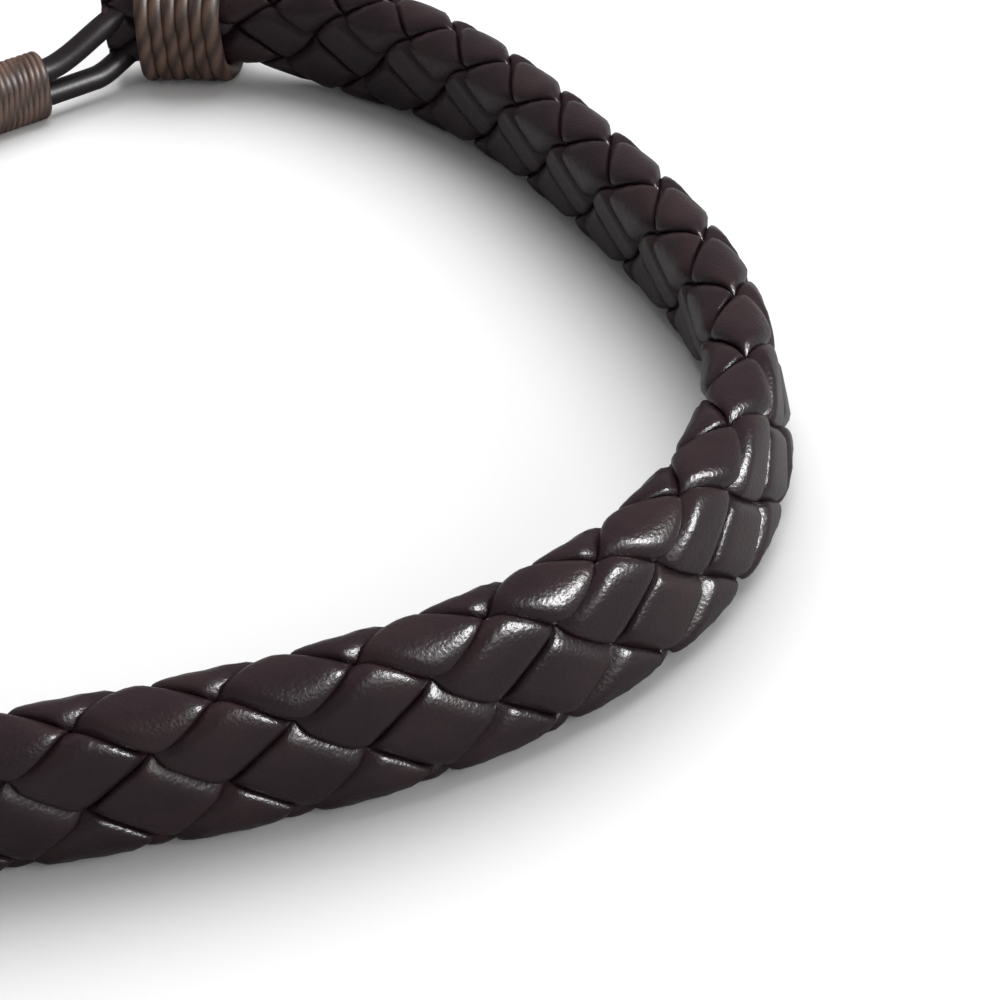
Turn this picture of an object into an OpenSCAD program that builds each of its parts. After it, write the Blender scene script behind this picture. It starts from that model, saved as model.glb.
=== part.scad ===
// Braided leather bracelet: eight flat laces plaited round a flattened tube, closed with two thin laces.
// It lies on its edge, as a loop round an upright axis, with the floor at z = 0.

/* [Loop] */
// Mean radius of the loop, to the middle of the band
loop_r = 33.3; // [29:0.1:40]
// Oval of the loop, as a share of its radius
loop_oval = -0.032; // [-0.05:0.001:0.05]
// Slant of that oval
loop_slant = 0.051; // [-0.06:0.001:0.06]
// Three-sided swell, drawn out to the end that the laces leave
loop_swell = -0.096; // [-0.11:0.001:0]
// How far the band leans in at the right of the loop and out at its left, in degrees
lean_side = 11.5; // [0:0.5:14]
// How far the band leans in at the back of the loop and out at its front, in degrees
lean_back = 9.7; // [0:0.5:14]

/* [Braid] */
// Height of the band
band_h = 7.5; // [7:0.1:9]
// Thickness of the band, four laces deep
band_t = 3.36; // [3.36:0.02:4]
// Thickness of one lace
lace_t = 0.74; // [0.6:0.01:0.76]
// Width of one lace, as a share of the room between its neighbours
lace_cover = 0.86; // [0.8:0.01:0.86]
// How much thinner a lace is pressed where it lies below, as a share
lace_press = 0.2; // [0.1:0.01:0.25]
// Space left between laces that cross
lace_gap = 0.12; // [0.05:0.01:0.12]
// Distance along the band between neighbouring laces that wind the same way
pitch = 5.4; // [5.2:0.05:6]
// Where on the loop a lace crosses the middle of the outer face, along the band
phase = 1.2; // [0:0.1:5.4]
// How far the columns of crossings sit above the middle of the outer face, in columns
column_shift = 0.72; // [0:0.01:1]
// How deep under the braid's face the columns are evenly spaced
even_depth = 0.1; // [0:0.01:0.4]

/* [Whippings] */
// Angle on the loop where the braid goes into the far whipping
whip_far_at = 76; // [70:0.5:80]
// Angle on the loop where the braid goes into the near whipping
whip_near_at = -187; // [-190:0.5:-182]
// Length of a whipping along the band
whip_len = 6.4; // [5:0.1:8]
// Turns of waxed cord in a whipping
whip_turns = 6; // [5:1:8]
// Diameter of the waxed cord
whip_cord = 1; // [0.8:0.05:1.2]
// Height of the braid where a whipping squeezes it
squeezed_h = 5.3; // [4.8:0.1:6]
// Thickness of the braid where a whipping squeezes it
squeezed_t = 3.5; // [3.4:0.05:4]
// Length over which the braid narrows before a whipping
squeeze_len = 7; // [3:0.5:8]

/* [Laces and knot] */
// Diameter of each of the two closing laces
tie_d = 1.35; // [1.1:0.05:1.4]
// How far above the band's middle the upper lace leaves a whipping
tie_up = 1.1; // [0.8:0.1:1.2]
// How far below the band's middle the lower lace leaves a whipping
tie_down = 1.5; // [1.2:0.1:1.6]
// How far inside the band's middle both laces leave a whipping
tie_in = 0.3; // [0:0.05:0.5]
// How far along the closing stretch the sliding knot starts
knot_from = 8.1; // [6:0.1:12]
// Length of the sliding knot
knot_len = 6.5; // [6:0.5:12]
// Turns of cord in the sliding knot
knot_turns = 12; // [8:1:16]
// Diameter of the cord of the sliding knot
knot_cord = 0.5; // [0.4:0.05:0.8]

/* [Hidden] */

leather = "#33272b";
waxed_cord = "#54433b";

columns = 8;
way_count = 4;
play = 0.1;

// The loop's outline, by the angle round it
function radius(a) =
    loop_r * (1 + loop_oval * cos(2 * a) + loop_slant * sin(2 * a) + loop_swell * sin(3 * a));
function radius_slope(a) =
    loop_r * (-2 * loop_oval * sin(2 * a) + 2 * loop_slant * cos(2 * a) + 3 * loop_swell * cos(3 * a));
function turned(a) = radius(a) * [cos(a), sin(a)];
loop_x = [for (a = [-180:2:178]) turned(a).x];
loop_y = [for (a = [-180:2:178]) turned(a).y];
loop_middle = [max(loop_x) + min(loop_x), max(loop_y) + min(loop_y)] / 2;
function spot(a) = turned(a) - loop_middle;
function unit(v) = v / norm(v);
function along(a) = unit(radius_slope(a) * [cos(a), sin(a)] + radius(a) * [-sin(a), cos(a)]);
function right_of(way) = [way.y, -way.x];
function lean(a) = lean_side * cos(a) + lean_back * sin(a);

// Distance along the band for each angle, counted from the loop's right side
arc_step = 1;
arc_from = whip_near_at - 20;
arc_to = whip_far_at + 20;
arc_rows = [for (a = arc_from, s = 0; a <= arc_to; s = s + norm(turned(a + arc_step) - turned(a)),
    a = a + arc_step) [a, s]];
arc_zero = lookup(0, arc_rows);
angle_rows = [for (row = arc_rows) [row[1] - arc_zero, row[0]]];
function angle_at(s) = lookup(s, angle_rows);
function distance_to(a) = lookup(a, arc_rows) - arc_zero;

braid_from = distance_to(whip_near_at);
braid_to = distance_to(whip_far_at);
cut_back = 2.2;
strand_from = braid_from - whip_len + cut_back;
strand_to = braid_to + whip_len - cut_back;

// How far the whippings squeeze the band there, from 0 to 1
function eased(x) = let (t = min(1, max(0, x))) t * t * (3 - 2 * t);
function squeeze(s) = eased(1 - min(s - braid_from, braid_to - s) / squeeze_len);
function mix(a, b, t) = a + (b - a) * t;
function height(s) = mix(band_h, squeezed_h, squeeze(s));
function thickness(s) = mix(band_t, squeezed_t, squeeze(s));
function lift(s) = (whip_cord + play) * squeeze(s);

// A point so far up and out from the middle of a leaning stadium, which is h high and t thick, and whose
// lowest point is at the height rise
function in_band(s, up, out, h, t, rise) =
    let (a = angle_at(s), l = lean(a), side = right_of(along(a)), base = spot(a))
    let (reach = out * cos(l) - up * sin(l))
    [base.x + side.x * reach, base.y + side.y * reach,
        rise + (h - t) / 2 * cos(l) + t / 2 + out * sin(l) + up * cos(l)];

// A stadium's outline, r from its middle line at the round ends: p is the way round from the middle of its
// outer face, measured along the stadium of radius even, and off how far off the outline a point lies
function stadium(p, off, flat, r, even) =
    let (q = abs(p), way = p < 0 ? -1 : 1)
    let (bend = (q - flat) / even * 180 / PI)
    q <= flat ? [p, r + off] :
    bend < 180 ? [way * (flat + (r + off) * sin(bend)), (r + off) * cos(bend)] :
    [way * (2 * flat + PI * even - q), -r - off];
function wrapped(p, whole) = p - whole * round(p / whole);

// A point of the braid: along the band, round it in columns, and off the wall's middle
half_wall = lace_t + lace_gap / 2;
function in_braid(s, column, off) =
    let (h = height(s), t = thickness(s), even = t / 2 - even_depth)
    let (p = wrapped(column, columns) * (2 * (h - t) + 2 * PI * even) / columns)
    let (at = stadium(p, off, (h - t) / 2, t / 2 - half_wall, even))
    in_band(s, at[0], at[1], h, t, lift(s));

// Over one and under one: 1 while a lace lies on top, -1 while it lies below
function weave(column) = min(1, max(-1, 2 - 4 * abs(column - 2 * round(column / 2))));

// Corners of a lace's section: across it in halves of its width, and through it in thicknesses
lace_section = [[-1, 0], [-0.5, 0.5], [0.5, 0.5], [1, 0], [0.5, -0.5], [-0.5, -0.5]];
lace_rise = (lace_t + lace_gap) / 2;
ring_step = pitch / 4;

// One section of a lace, cut along the laces that cross it, where way is -1 for a lace that goes down the
// outer face and 1 for one that climbs it
function lace_ring(s, start, way) =
    let (column = 2 * way * (s - start) / pitch, over = -way * weave(column))
    let (pressed = lace_press * (1 - over) / 2, thick = lace_t * (1 - pressed))
    let (middle = over * lace_rise - pressed * lace_t / 2)
    [for (corner = lace_section) let (across = corner[0] * lace_cover)
        in_braid(s - way * across * ring_step, column + column_shift + across / 2,
            middle + corner[1] * thick)];

least_step = 0.1;
ring_first = ceil((strand_from - phase) / ring_step - 0.5 + least_step);
ring_last = floor((strand_to - phase) / ring_step - 0.5 - least_step);
stations = [strand_from, for (i = [ring_first:ring_last]) phase + (i + 0.5) * ring_step, strand_to];

// Triangles between two sections of n corners, with each four-sided patch cut one way or the other
function wall(a, b, n, other) = [for (j = [0:n - 1]) let (k = (j + 1) % n) each
    other ? [[a + j, a + k, b + j], [a + k, b + k, b + j]] : [[a + j, a + k, b + k], [a + j, b + k, b + j]]];
function cap(from, n) = [for (j = [1:n - 2]) [from, from + j, from + j + 1]];
function turned_over(faces) = [for (f = faces) [f[2], f[1], f[0]]];
function tube_faces(rings, n, other) = concat(turned_over(cap(0, n)), cap((rings - 1) * n, n),
    [for (i = [0:rings - 2]) each wall(i * n, (i + 1) * n, n, other)]);
function loop_faces(rings, n) = [for (i = [0:rings - 1]) each wall((i + 1) % rings * n, i * n, n, false)];

module tube(rings, other = false)
    polyhedron([for (ring = rings) each ring], tube_faces(len(rings), len(rings[0]), other));
module wound(rings) polyhedron([for (ring = rings) each ring], loop_faces(len(rings), len(rings[0])));

// One of the eight laces: the first four go down the outer face, the others climb it
module strand(n) {
    way = n > way_count ? 1 : -1;
    start = phase + (n - 1) % way_count * pitch;
    color(leather) tube([for (s = stations) lace_ring(s, start, way)], way < 0);
}

// Height of the wound cord along a sleeve, in turns and as a share of the cord's diameter
function ridges(turns) = [[0, 0.5], for (i = [0:turns - 1]) each [[i + 0.25, 1], [i + 0.75, 1],
    [i + 1, i < turns - 1 ? 0.65 : 0.5]]];

// Angles of the stations round a sleeve, and its outline there, off the stadium that it is wound on
sleeve_stations = 18;
function sleeve_way(i, h, t) = (i / sleeve_stations - 0.5) * (2 * (h - t) + PI * t);
function sleeve_point(i, h, t, off) = stadium(sleeve_way(i, h, t), off, (h - t) / 2, t / 2, t / 2);

whip_h = squeezed_h + 2 * play;
whip_t = squeezed_t + 2 * play;
module whipping(from) {
    turn = whip_len / whip_turns;
    profile = concat([for (r = ridges(whip_turns)) [r[0] * turn, r[1] * whip_cord]],
        [for (share = [1:-0.5:0]) [share * whip_len, 0]]);
    color(waxed_cord) wound([for (i = [0:sleeve_stations - 1]) [for (q = profile)
        let (at = sleeve_point(i, whip_h, whip_t, q[1]))
        in_band(from + q[0], at[0], at[1], whip_h, whip_t, whip_cord)]]);
}

// The closing stretch: a plain curve in plan from one whipping to the other, which leaves the far one turned
// inwards and bows out on its way to the near one
tie_tuck = 0.3;
close_turn = 40;
close_first = 12;
close_bow = 0.6;
close_from = braid_to + whip_len - tie_tuck;
close_to = braid_from - whip_len + tie_tuck;
function tie_end(at, up) = in_band(at, up, -tie_in, whip_h, whip_t, whip_cord);
function level(v) = [v.x, v.y];
function turned_by(v, a) = [v.x * cos(a) - v.y * sin(a), v.x * sin(a) + v.y * cos(a)];
close_a = level(tie_end(close_from, 0));
close_b = level(tie_end(close_to, 0));
close_points = [close_a, close_a + close_first * turned_by(along(angle_at(close_from)), close_turn),
    close_b - close_bow * norm(close_b - close_a) * along(angle_at(close_to)), close_b];
function bezier(q, t) = let (u = 1 - t)
    u * u * u * q[0] + 3 * u * u * t * q[1] + 3 * u * t * t * q[2] + t * t * t * q[3];
function plan(t) = bezier(close_points, t);
function plan_way(t) = unit(plan(t + 0.001) - plan(t - 0.001));
close_step = 0.05;
close_steps = [for (t = [0:close_step:0.96]) norm(plan(t + close_step) - plan(t))];
close_length = close_steps * [for (step = close_steps) 1];
knot_first = knot_from / close_length;
knot_last = knot_first + knot_len / close_length;

knot_in_h = 2 * tie_d + 3 * play;
knot_in_t = tie_d + 2 * play;
knot_middle = knot_in_h / 2 + knot_cord;
tie_beside = (tie_d + play) / 2;

// The middle of a closing lace: from its place in one whipping, through the knot, to the other. It leaves the
// far whipping over the length settle.
function tie_spot(up, inside, settle, t) =
    let (far = t < knot_first, end = tie_end(far ? close_from : close_to, up))
    let (in_knot = eased(far ? t * close_length / settle : (1 - t) / (1 - knot_last)))
    let (at = plan(t) + (level(end) - (far ? close_a : close_b)) * (1 - in_knot))
    [at.x, at.y, mix(end.z, inside, in_knot)];
tie_rings = 24;
tie_sides = 8;
module tie(up, inside, settle) {
    color(leather) tube([for (i = [0:tie_rings])
        let (t = i / tie_rings, side = right_of(plan_way(t)))
        [for (j = [0:tie_sides - 1])
            let (a = 360 * j / tie_sides)
            tie_spot(up, inside, settle, t) + tie_d / 2 * [side.x * cos(a), side.y * cos(a), sin(a)]]]);
}

module lace_upper() tie(tie_up, knot_middle + tie_beside, knot_from);
module lace_lower() tie(-tie_down, knot_middle - tie_beside, knot_from / 2);

module sliding_knot() {
    profile = concat([for (r = ridges(knot_turns)) [r[0] / knot_turns, r[1] * knot_cord]],
        [for (share = [1:-0.5:0]) [share, 0]]);
    color(waxed_cord) wound([for (i = [0:sleeve_stations - 1]) [for (q = profile)
        let (at = sleeve_point(i, knot_in_h, knot_in_t, q[1]), t = mix(knot_first, knot_last, q[0]))
        let (side = right_of(plan_way(t)))
        [plan(t).x + side.x * at[1], plan(t).y + side.y * at[1], knot_middle + at[0]]]]);
}

module whipping_far() whipping(braid_to);
module whipping_near() whipping(braid_from - whip_len);

strand(1);  // strand_1
strand(2);  // strand_2
strand(3);  // strand_3
strand(4);  // strand_4
strand(5);  // strand_5
strand(6);  // strand_6
strand(7);  // strand_7
strand(8);  // strand_8
whipping_far();
whipping_near();
lace_upper();
lace_lower();
sliding_knot();
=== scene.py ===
"""Braided leather bracelet: eight flat laces plaited round a flattened tube, whipped at both ends with waxed
cord, and closed by two thin laces under a wound sliding knot. It lies on its edge on a pale floor."""
import math

import bmesh
import bpy
import numpy as np
from bpy.props import FloatProperty, FloatVectorProperty, IntProperty, PointerProperty
from mathutils import Matrix, Vector


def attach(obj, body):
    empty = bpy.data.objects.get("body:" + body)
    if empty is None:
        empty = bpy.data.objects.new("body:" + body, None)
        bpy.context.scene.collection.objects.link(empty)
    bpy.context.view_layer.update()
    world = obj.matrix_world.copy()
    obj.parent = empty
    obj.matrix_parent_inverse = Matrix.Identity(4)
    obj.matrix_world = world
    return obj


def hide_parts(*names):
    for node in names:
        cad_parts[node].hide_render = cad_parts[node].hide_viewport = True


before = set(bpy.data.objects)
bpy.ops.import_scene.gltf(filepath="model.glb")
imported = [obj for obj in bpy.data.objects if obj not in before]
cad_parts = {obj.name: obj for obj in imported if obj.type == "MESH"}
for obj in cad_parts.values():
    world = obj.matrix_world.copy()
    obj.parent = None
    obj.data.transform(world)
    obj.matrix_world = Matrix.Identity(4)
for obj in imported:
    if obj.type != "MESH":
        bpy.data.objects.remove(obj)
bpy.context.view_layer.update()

bl_info = {
    "name": "Braided leather bracelet",
    "version": (1, 0, 0),
    "blender": (4, 5, 0),
    "location": "3D View > Sidebar > Bracelet",
    "description": "Plaits a leather bracelet round its loop, whips its ends and ties its sliding knot",
    "category": "Object",
}

MM = 0.001
BODY = "root"
MATHS = "ShaderNodeMath"

# Points of a mesh nearer than this are one
SEAM = 0.002 * MM

# How finely the pieces are divided: along a lace or a turn of cord, and round each section
LACE_STATIONS = 900
LACE_CORNERS = 24
TURN_STATIONS = 60
CORD_CORNERS = 14
ROUND_LACE_CORNERS = 20

# A plaited lace's section is a circle with its width and depth raised to these powers: lower is squarer
EDGE_POWER = 0.55
CROWN_POWER = 0.65

# Shares of a pitch: how far a lace's edge lies ahead of its middle, as it follows the laces it crosses, how
# much longer its grid is than the lace cut square, and half its breadth laid flat
EDGE_LEAD = 0.25
SPARE_GRID = 0.6
FLAT_BREADTH = 0.27

# Length of a lace laid flat, by the length of band that it covers
FLAT_LENGTH = 1.19

# A wound cord is pressed this much wider along the band than it is thick
PRESSED_CORD = 1.1

# How often a lace's width changes in a column, and a cord's slack in a turn
WIDTH_WAVES = 0.35
SLACK_WAVES = 1.7

# Fixed seeds: steps from lace to lace and from whipping to whipping, and the knot's own
LACE_SEED_STEP = 7.0
WHIPPING_SEED_STEP = 3.0
KNOT_SEED = 11.0

# Place and size of each light in metres, its power in watts and the kind of light that it is kept out of. The
# softbox isn't mirrored in the leather, so the upper faces stay dark. The key is only mirrored, as narrow
# highlights, and throws no shadow.
LIGHTS = {
    "Overhead softbox": {"spot": (0.1, 0.28, 0.62), "size": 0.85, "power": 5.4, "kept_from": "glossy"},
    "Window key": {"spot": (0.385, -0.14, 0.2), "size": 0.15, "power": 5.0, "kept_from": "diffuse"},
    "Side fill": {"spot": (0.4, -0.36, 0.22), "size": 0.4, "power": 1.2},
}
LIT_SPOT = (0.02, 0, 0)
AMBIENT = 0.25
FLOOR_SIZE = 6
SENSOR_MM = 36
NEAREST = 0.01


def linear(hex_colour):
    """An sRGB hex value as linear red, green and blue, with an alpha of 1"""
    parts = [int(hex_colour[i:i + 2], 16) / 255 for i in (0, 2, 4)]
    return [p / 12.92 if p <= 0.04045 else ((p + 0.055) / 1.055) ** 2.4 for p in parts] + [1.0]


# Sizes and colours that a user would change


class LoopSizes(bpy.types.PropertyGroup):
    """The line in plan that the band follows, and how the band leans"""

    mean_radius: FloatProperty(name="Mean radius", description="From the loop's centre to the band's middle",
                               default=33.3 * MM, unit="LENGTH", precision=5)
    oval: FloatProperty(name="Oval", description="Two-sided swell along X, as a share of the radius",
                        default=-0.032)
    slant: FloatProperty(name="Slant", description="Slant of the two-sided swell, as a share of the radius",
                         default=0.051)
    swell: FloatProperty(name="Swell", description="Three-sided swell, as a share of the radius",
                         default=-0.096)
    lean_side: FloatProperty(name="Side lean", description="How far the band leans in at the loop's right",
                             default=math.radians(11.5), subtype="ANGLE")
    lean_back: FloatProperty(name="Back lean", description="How far the band leans in at the loop's back",
                             default=math.radians(9.7), subtype="ANGLE")


class BraidSizes(bpy.types.PropertyGroup):
    """The flattened tube that the eight laces make, and the way they cross"""

    height: FloatProperty(name="Height", description="Height of the band", default=7.5 * MM, unit="LENGTH")
    thickness: FloatProperty(name="Thickness", description="Thickness of the band, four laces deep",
                             default=3.36 * MM, unit="LENGTH")
    lace: FloatProperty(name="Lace thickness", description="Thickness of one lace", default=0.74 * MM,
                        unit="LENGTH")
    gap: FloatProperty(name="Gap", description="Space between laces that cross", default=0.12 * MM,
                       unit="LENGTH")
    pitch: FloatProperty(name="Pitch", description="Distance between laces that wind the same way",
                         default=5.4 * MM, unit="LENGTH")
    phase: FloatProperty(name="Phase", description="Where a lace crosses the middle of the outer face",
                         default=1.2 * MM, unit="LENGTH")
    columns: IntProperty(name="Columns", description="Columns of crossings round the braid", default=8)
    column_shift: FloatProperty(name="Column shift", description="How far the columns sit above the middle",
                                default=0.72)
    even_depth: FloatProperty(name="Even depth", description="How deep the columns are evenly spaced",
                              default=0.1 * MM, unit="LENGTH")
    press: FloatProperty(name="Press", description="How much thinner a lace is where it lies below",
                         default=0.2)
    cover_over: FloatProperty(name="Cover on top", description="Width on top, as a share of the room",
                              default=1.06)
    cover_under: FloatProperty(name="Cover below", description="Width below, as a share of the room",
                               default=0.9)
    dive_from: FloatProperty(name="Dive from", default=0.28,
                             description="Where a lace starts to dive, in columns from its crossing on top")
    dive_to: FloatProperty(name="Dive to", default=0.7,
                           description="Where a lace lies fully below, in columns from its crossing on top")
    variation: FloatProperty(name="Variation", description="How much the laces' width varies, as a share",
                             default=0.14)


class WhippingSizes(bpy.types.PropertyGroup):
    """The cord wound round both ends of the braid"""

    far_at: FloatProperty(name="Far end", description="Angle where the braid goes into the far whipping",
                          default=math.radians(76), subtype="ANGLE")
    near_at: FloatProperty(name="Near end", description="Angle where the braid goes into the near whipping",
                           default=math.radians(-187), subtype="ANGLE")
    length: FloatProperty(name="Length", description="Length of a whipping along the band",
                          default=6.4 * MM, unit="LENGTH")
    turns: IntProperty(name="Turns", description="Turns of cord in a whipping", default=6)
    cord: FloatProperty(name="Cord", description="Diameter of the waxed cord", default=1 * MM, unit="LENGTH")
    height: FloatProperty(name="Squeezed height", description="Height of the braid inside a whipping",
                          default=5.3 * MM, unit="LENGTH")
    thickness: FloatProperty(name="Squeezed thickness", description="Thickness of the braid inside a whipping",
                             default=3.5 * MM, unit="LENGTH")
    squeeze: FloatProperty(name="Squeeze length", description="Length over which the braid narrows",
                           default=7 * MM, unit="LENGTH")
    end_out: FloatProperty(name="Ends out", description="How far the cut laces stand out of a whipping",
                           default=1.6 * MM, unit="LENGTH")
    play: FloatProperty(name="Play", description="Space between the cord and what it is wound on",
                        default=0.1 * MM, unit="LENGTH")
    slack: FloatProperty(name="Slack", description="How unevenly the turns of a whipping lie",
                         default=0.25 * MM, unit="LENGTH", precision=5)


class ClosingSizes(bpy.types.PropertyGroup):
    """The two closing laces and their sliding knot"""

    lace: FloatProperty(name="Lace", description="Diameter of each closing lace", default=1.35 * MM,
                        unit="LENGTH")
    up: FloatProperty(name="Upper lace", description="Height above the band's middle where it leaves",
                      default=1.1 * MM, unit="LENGTH")
    down: FloatProperty(name="Lower lace", description="Depth below the band's middle where it leaves",
                        default=1.5 * MM, unit="LENGTH")
    inward: FloatProperty(name="Inward", description="How far inside the band's middle the laces leave it",
                          default=0.3 * MM, unit="LENGTH", precision=5)
    tuck: FloatProperty(name="Tuck", description="How far inside a whipping the curve starts",
                        default=0.3 * MM, unit="LENGTH", precision=5)
    hold: FloatProperty(name="Hold", description="How much further the laces run on inside a whipping",
                        default=2 * MM, unit="LENGTH")
    turn: FloatProperty(name="Turn", description="How far the laces turn in as they leave the far whipping",
                        default=math.radians(40), subtype="ANGLE")
    first: FloatProperty(name="First handle", description="How far the curve follows that turn",
                         default=12 * MM, unit="LENGTH")
    bow: FloatProperty(name="Bow", description="How far the curve bows out, as a share of its chord",
                       default=0.6)
    knot_from: FloatProperty(name="Knot from", description="Where the sliding knot starts along the curve",
                             default=8.1 * MM, unit="LENGTH")
    knot: FloatProperty(name="Knot length", description="Length of the sliding knot", default=6.5 * MM,
                        unit="LENGTH")
    knot_turns: IntProperty(name="Knot turns", description="Turns of cord in the knot", default=12)
    knot_cord: FloatProperty(name="Knot cord", description="Diameter of the knot's cord", default=0.5 * MM,
                             unit="LENGTH")
    knot_slack: FloatProperty(name="Knot slack", description="How unevenly the turns of the knot lie",
                              default=0.12 * MM, unit="LENGTH", precision=5)


class Finishes(bpy.types.PropertyGroup):
    """The colours of leather and cord, and the sizes of their grain and twist"""

    leather: FloatVectorProperty(name="Leather", description="Dyed face of the laces", subtype="COLOR", size=4,
                                 default=linear("2b1f24"))
    leather_worn: FloatVectorProperty(name="Rubbed leather", description="Where the dye is rubbed thinner",
                                      subtype="COLOR", size=4, default=linear("372729"))
    grain: FloatProperty(name="Grain", description="Size of the leather's grain", default=0.13 * MM,
                         unit="LENGTH")
    lace: FloatVectorProperty(name="Lace", description="Black-brown closing laces", subtype="COLOR", size=4,
                              default=linear("1b1b1d"))
    cord: FloatVectorProperty(name="Cord", description="Waxed cotton cord", subtype="COLOR", size=4,
                              default=linear("73584d"))
    # Painted shade in the grooves between the cord's plies, mixed with the darker fibres' random tone
    cord_groove_shade_and_fibre: FloatVectorProperty(name="Dark cord", description="Between the cord's plies", subtype="COLOR",
                                   size=4, default=linear("45352e"))
    lay: FloatProperty(name="Lay", description="Length of one twist of the cord's plies", default=1.6 * MM,
                       unit="LENGTH")


class StageSettings(bpy.types.PropertyGroup):
    """The camera and the floor"""

    elevation: FloatProperty(name="Elevation", description="How far down the camera looks",
                             default=math.radians(34.273), subtype="ANGLE")
    roll: FloatProperty(name="Roll", description="Turn of the camera about its line of sight",
                        default=math.radians(-4.802), subtype="ANGLE")
    distance: FloatProperty(name="Distance", description="From the camera to the point that it looks at",
                            default=130.22 * MM, unit="LENGTH")
    aim_x: FloatProperty(name="Aim X", description="Point looked at, from the loop's own centre",
                         default=21.40 * MM, unit="LENGTH")
    aim_y: FloatProperty(name="Aim Y", description="Point looked at, from the loop's own centre",
                         default=-8.81 * MM, unit="LENGTH")
    lens: FloatProperty(name="Lens", description="Focal length in millimetres", default=104.615)
    floor: FloatVectorProperty(name="Floor", description="Pale floor", subtype="COLOR", size=4,
                               default=linear("fcfcfc"))
    bounce: FloatVectorProperty(name="Bounce", description="Floor's colour for the light that it throws back",
                                subtype="COLOR", size=4, default=linear("a8a8a8"))


# The loop's line, worked out from its sizes


def about_centre(angle, loop):
    """Points of the loop's middle line about its own centre, by the angle round it"""
    radius = loop.mean_radius * (1 + loop.oval * np.cos(2 * angle) + loop.slant * np.sin(2 * angle)
                                 + loop.swell * np.sin(3 * angle))
    return np.stack([radius * np.cos(angle), radius * np.sin(angle)], axis=-1)


def loop_middle(loop):
    """Middle of the loop's box, from a point every 2 degrees. It is laid over the origin."""
    spots = about_centre(np.radians(np.arange(-180, 180, 2)), loop)
    return (spots.max(axis=0) + spots.min(axis=0)) / 2


class Band:
    """The band's middle line in plan, and where the braid and the whippings lie along it"""

    # Angle from point to point of the line, and how far it runs on past where the whippings start
    STEP = math.radians(0.5)
    MARGIN = math.radians(20)

    def __init__(self, scene):
        self.loop = scene.bracelet_loop
        whipping = scene.bracelet_whipping
        self.angles = np.arange(whipping.near_at - self.MARGIN, whipping.far_at + self.MARGIN, self.STEP)
        self.line = about_centre(self.angles, self.loop) - loop_middle(self.loop)
        steps = np.linalg.norm(np.diff(self.line, axis=0), axis=1)
        run = np.concatenate(([0], np.cumsum(steps)))
        self.distances = run - np.interp(0, self.angles, run)
        self.braid_from = self.distance_to(whipping.near_at)
        self.braid_to = self.distance_to(whipping.far_at)
        self.strand_from = self.braid_from - whipping.length - whipping.end_out
        self.strand_to = self.braid_to + whipping.length + whipping.end_out

    def distance_to(self, angle):
        """Distance along the band to an angle round the loop"""
        return float(np.interp(angle, self.angles, self.distances))

    def angle_at(self, distance):
        """Angle round the loop at a distance along the band"""
        return float(np.interp(distance, self.distances, self.angles))

    def spot(self, distance):
        """Point of the middle line in plan, at a distance along it"""
        return about_centre(np.array(self.angle_at(distance)), self.loop) - loop_middle(self.loop)

    def along(self, distance):
        """Direction of the middle line in plan, at a distance along it"""
        angle = self.angle_at(distance)
        ends = about_centre(np.array([angle - self.STEP, angle + self.STEP]), self.loop)
        return (ends[1] - ends[0]) / np.linalg.norm(ends[1] - ends[0])

    def lean(self, angle):
        """How far the band leans in, at an angle round the loop"""
        return self.loop.lean_side * np.cos(angle) + self.loop.lean_back * np.sin(angle)


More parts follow.
